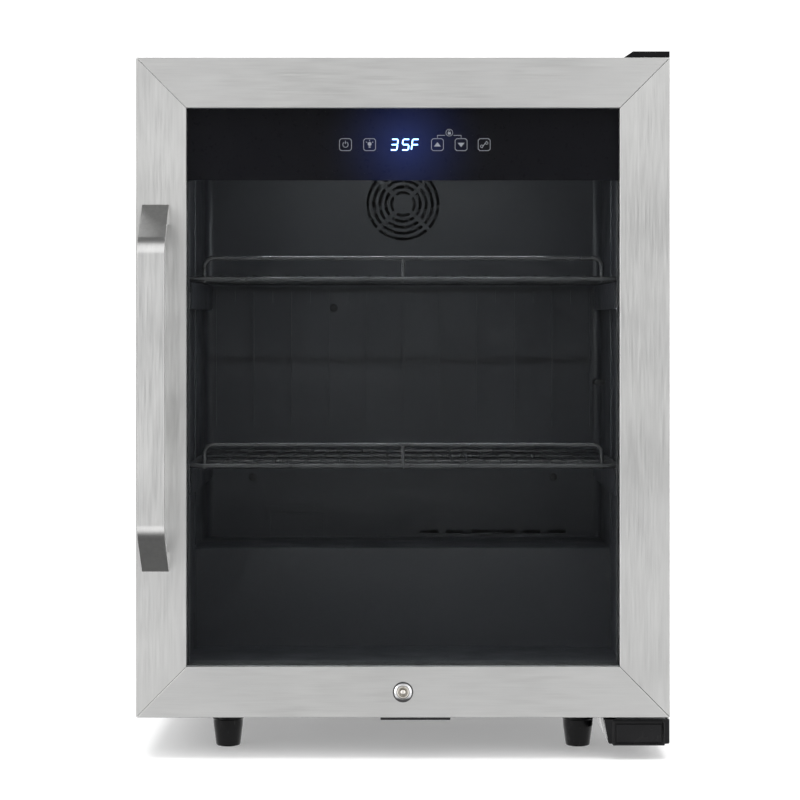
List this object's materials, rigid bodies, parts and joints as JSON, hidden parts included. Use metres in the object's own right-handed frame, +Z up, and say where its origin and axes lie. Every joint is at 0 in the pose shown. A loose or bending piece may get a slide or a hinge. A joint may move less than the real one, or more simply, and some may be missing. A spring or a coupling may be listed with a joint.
{
  "type": "mini fridge",
  "caption": "Freestanding compact beverage fridge with a framed glass door, bow handle, touch control band, wire shelves and a compressor at the back.",
  "frame": {"origin": "on the floor under the middle of the whole fridge's box", "axes": "+Z up, -Y out of the glass door towards the user, +X towards the hinge side"},
  "size_m": [0.47, 0.472, 0.628],
  "materials": {
    "brushed_trim": "directional brushed grain",
    "black_sheet": "fine textured powder coat",
    "zinc_sheet": "zinc plated",
    "black_plastic": "fine moulded grain",
    "gloss_black_plastic": "satin gloss moulding",
    "liner_plastic": "vacuum-formed, low sheen",
    "foam": "closed-cell foam",
    "glass": "clear, tempered",
    "screen_print": "black ceramic print",
    "icon_print": "printed, light grey",
    "led_digits": "lit",
    "rubber_seal": "soft, matte",
    "chrome": "polished",
    "copper": "drawn tube, slightly tarnished",
    "aluminium": "rolled",
    "white_plastic": "translucent moulding",
    "circuit_board": "solder mask",
    "cream_plastic": "moulded",
    "shelf_wire": "coated wire"
  },
  "bodies": {
    "cabinet": {"outer_shell": "black_sheet", "back_panel": "zinc_sheet", "base_plate": "black_sheet", "machine_room_bulkhead": "zinc_sheet", "foam_insulation": "foam", "inner_liner": "liner_plastic", "rear_air_panel": "liner_plastic", "rear_panel_screws": "black_plastic", "evaporator": "aluminium", "fan_frame": "black_plastic", "temperature_sensor": "black_plastic", "light_housing": "black_plastic", "light_lens": "white_plastic", "upper_shelf": "shelf_wire", "middle_shelf": "shelf_wire", "compressor": "black_sheet", "compressor_mounts": "rubber_seal", "compressor_bolts": "zinc_sheet", "start_relay": "cream_plastic", "condenser_tube": "black_sheet", "condenser_wires": "black_sheet", "condenser_bumpers": "black_plastic", "drier_filter": "copper", "refrigerant_pipes": "copper", "drain_tray": "black_plastic", "drain_tube": "black_plastic", "control_box": "black_plastic", "cord_gland": "rubber_seal", "rear_feet": "gloss_black_plastic", "top_hinge_bracket": "zinc_sheet", "top_hinge_cover": "gloss_black_plastic", "top_hinge_screws": "zinc_sheet", "bottom_hinge_bracket": "zinc_sheet", "bottom_hinge_cover": "gloss_black_plastic", "bottom_hinge_screws": "zinc_sheet", "lock_strike": "black_sheet"},
    "door": {"door_trim_top": "brushed_trim", "door_trim_bottom": "brushed_trim", "door_trim_left": "brushed_trim", "door_trim_right": "brushed_trim", "door_core_frame": "black_plastic", "outer_glass": "glass", "inner_glass": "glass", "glass_spacer": "aluminium", "glass_print_band": "screen_print", "touch_icons": "icon_print", "temperature_digits": "led_digits", "control_board": "circuit_board", "control_housing": "black_plastic", "door_gasket": "rubber_seal", "door_handle": "brushed_trim", "handle_screws": "zinc_sheet", "hinge_bushes": "white_plastic", "lock_housing": "chrome"},
    "lock": {"lock_plug": "chrome", "lock_cam": "zinc_sheet"},
    "left_leveller": {"front_left_foot": "gloss_black_plastic"},
    "right_leveller": {"front_right_foot": "gloss_black_plastic"},
    "fan": {"fan_rotor": "black_plastic"}
  },
  "joints": [
    {"name": "door_hinge", "type": "hinge", "parent": "cabinet", "child": "door", "pos_m": [0.223, -0.176, 0.329], "axis": [0, 0, 1], "range_deg": [0, 115]},
    {"name": "lock_turn", "type": "hinge", "parent": "door", "child": "lock", "pos_m": [0, -0.17, 0.0605], "axis": [0, 1, 0], "range_deg": [0, 90]},
    {"name": "left_foot_screw", "type": "slide", "parent": "cabinet", "child": "left_leveller", "axis": [0, 0, -1], "range_m": [0, 0.012]},
    {"name": "right_foot_screw", "type": "slide", "parent": "cabinet", "child": "right_leveller", "axis": [0, 0, -1], "range_m": [0, 0.012]},
    {"name": "fan_spin", "type": "hinge", "parent": "cabinet", "child": "fan", "pos_m": [0, 0.1445, 0.505], "axis": [0, -1, 0], "continuous": true}
  ]
}
